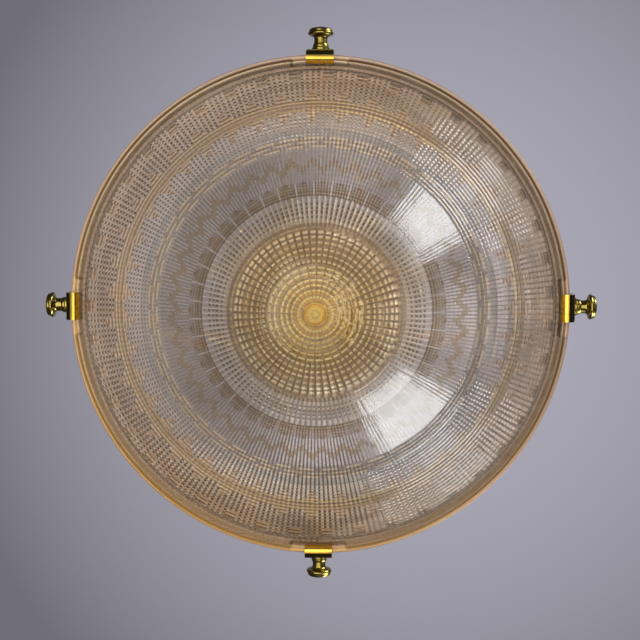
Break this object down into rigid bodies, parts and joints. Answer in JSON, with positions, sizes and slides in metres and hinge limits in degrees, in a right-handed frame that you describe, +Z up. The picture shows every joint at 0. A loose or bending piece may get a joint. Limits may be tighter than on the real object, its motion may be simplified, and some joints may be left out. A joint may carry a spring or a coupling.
{
  "type": "pendant light",
  "caption": "Hanging light: prismatic pressed-glass bowl clamped at its rim by brass clips with thumb nuts, swan-neck arms, lamp pan with round lamps, stem, knuckle, ceiling rose.",
  "frame": {"origin": "middle of the ceiling face, on the axis of the stem", "axes": "+Z up into the ceiling, along the stem; +X and +Y through clip_1 and clip_2"},
  "size_m": [0.392, 0.392, 0.388],
  "materials": {
    "brass": "polished, with old lacquer",
    "dark_brass": "dark patina",
    "steel": "zinc plated",
    "ceramic": null,
    "felt": "felt",
    "bowl_glass": "clear pressed glass",
    "lamp_glass": "clear"
  },
  "bodies": {
    "ceiling_mount": {"mounting_plate": "steel", "ceiling_tube": "brass", "tube_nuts": "brass", "terminal_block": "ceramic", "terminal_screws": "brass", "earth_screw": "brass", "upper_fork": "dark_brass"},
    "rose": {"canopy": "brass", "canopy_collar": "brass", "collar_screw": "brass"},
    "knuckle": {"knuckle_ring": "brass", "knuckle_pins": "steel"},
    "pendant_frame": {"lower_fork": "dark_brass", "stem": "brass", "hub": "brass", "arm_1": "brass", "arm_2": "brass", "arm_3": "brass", "arm_4": "brass", "arm_collars": "dark_brass", "centre_tube": "brass", "pan_lid": "brass", "lamp_pan": "brass", "pan_nut": "brass", "lampholder_1": "brass", "lampholder_2": "brass", "lampholder_3": "brass", "lampholder_4": "brass", "holder_cores": "ceramic", "holder_rings": "brass"},
    "bowl": {"glass_bowl": "bowl_glass"},
    "rim_clip_1": {"clip_1": "brass", "clip_pad_1": "felt", "lock_plate_1": "brass"},
    "nut_1": {"thumb_nut_1": "brass"},
    "lamp_1": {"bulb_glass_1": "lamp_glass", "bulb_cap_1": "brass"},
    "rim_clip_2": {"clip_2": "brass", "clip_pad_2": "felt", "lock_plate_2": "brass"},
    "nut_2": {"thumb_nut_2": "brass"},
    "lamp_2": {"bulb_glass_2": "lamp_glass", "bulb_cap_2": "brass"},
    "rim_clip_3": {"clip_3": "brass", "clip_pad_3": "felt", "lock_plate_3": "brass"},
    "nut_3": {"thumb_nut_3": "brass"},
    "lamp_3": {"bulb_glass_3": "lamp_glass", "bulb_cap_3": "brass"},
    "rim_clip_4": {"clip_4": "brass", "clip_pad_4": "felt", "lock_plate_4": "brass"},
    "nut_4": {"thumb_nut_4": "brass"},
    "lamp_4": {"bulb_glass_4": "lamp_glass", "bulb_cap_4": "brass"}
  },
  "joints": [
    {"name": "rose_slide", "type": "slide", "parent": "ceiling_mount", "child": "rose", "axis": [0, 0, -1], "range_m": [0, 0.03]},
    {"name": "swing_x", "type": "hinge", "parent": "ceiling_mount", "child": "knuckle", "pos_m": [0, 0, -0.1095], "axis": [1, 0, 0], "range_deg": [-15, 15]},
    {"name": "swing_y", "type": "hinge", "parent": "knuckle", "child": "pendant_frame", "pos_m": [0, 0, -0.1095], "axis": [0, 1, 0], "range_deg": [-15, 15]},
    {"name": "bowl_lift", "type": "slide", "parent": "pendant_frame", "child": "bowl", "axis": [0, 0, 1], "range_m": [0, 0.005]},
    {"name": "clip_1_slide", "type": "slide", "parent": "pendant_frame", "child": "rim_clip_1", "axis": [1, 0, 0], "range_m": [0, 0.00875]},
    {"name": "nut_1_turn", "type": "hinge", "parent": "rim_clip_1", "child": "nut_1", "pos_m": [0.18, 0, -0.276], "axis": [1, 0, 0], "range_deg": [0, 2520]},
    {"name": "lamp_1_draw", "type": "slide", "parent": "pendant_frame", "child": "lamp_1", "axis": [0.7071, 0.7071, 0], "range_m": [0, 0.024]},
    {"name": "clip_2_slide", "type": "slide", "parent": "pendant_frame", "child": "rim_clip_2", "axis": [0, 1, 0], "range_m": [0, 0.00875]},
    {"name": "nut_2_turn", "type": "hinge", "parent": "rim_clip_2", "child": "nut_2", "pos_m": [0, 0.18, -0.276], "axis": [0, 1, 0], "range_deg": [0, 2520]},
    {"name": "lamp_2_draw", "type": "slide", "parent": "pendant_frame", "child": "lamp_2", "axis": [-0.7071, 0.7071, 0], "range_m": [0, 0.024]},
    {"name": "clip_3_slide", "type": "slide", "parent": "pendant_frame", "child": "rim_clip_3", "axis": [-1, 0, 0], "range_m": [0, 0.00875]},
    {"name": "nut_3_turn", "type": "hinge", "parent": "rim_clip_3", "child": "nut_3", "pos_m": [-0.18, 0, -0.276], "axis": [-1, 0, 0], "range_deg": [0, 2520]},
    {"name": "lamp_3_draw", "type": "slide", "parent": "pendant_frame", "child": "lamp_3", "axis": [-0.7071, -0.7071, 0], "range_m": [0, 0.024]},
    {"name": "clip_4_slide", "type": "slide", "parent": "pendant_frame", "child": "rim_clip_4", "axis": [0, -1, 0], "range_m": [0, 0.00875]},
    {"name": "nut_4_turn", "type": "hinge", "parent": "rim_clip_4", "child": "nut_4", "pos_m": [0, -0.18, -0.276], "axis": [0, -1, 0], "range_deg": [0, 2520]},
    {"name": "lamp_4_draw", "type": "slide", "parent": "pendant_frame", "child": "lamp_4", "axis": [0.7071, -0.7071, 0], "range_m": [0, 0.024]}
  ],
  "couplings": [
    {"joint": "nut_1_turn", "follows": "clip_1_slide", "rad_per_m": 5026.5},
    {"joint": "nut_2_turn", "follows": "clip_2_slide", "rad_per_m": 5026.5},
    {"joint": "nut_3_turn", "follows": "clip_3_slide", "rad_per_m": 5026.5},
    {"joint": "nut_4_turn", "follows": "clip_4_slide", "rad_per_m": 5026.5}
  ]
}
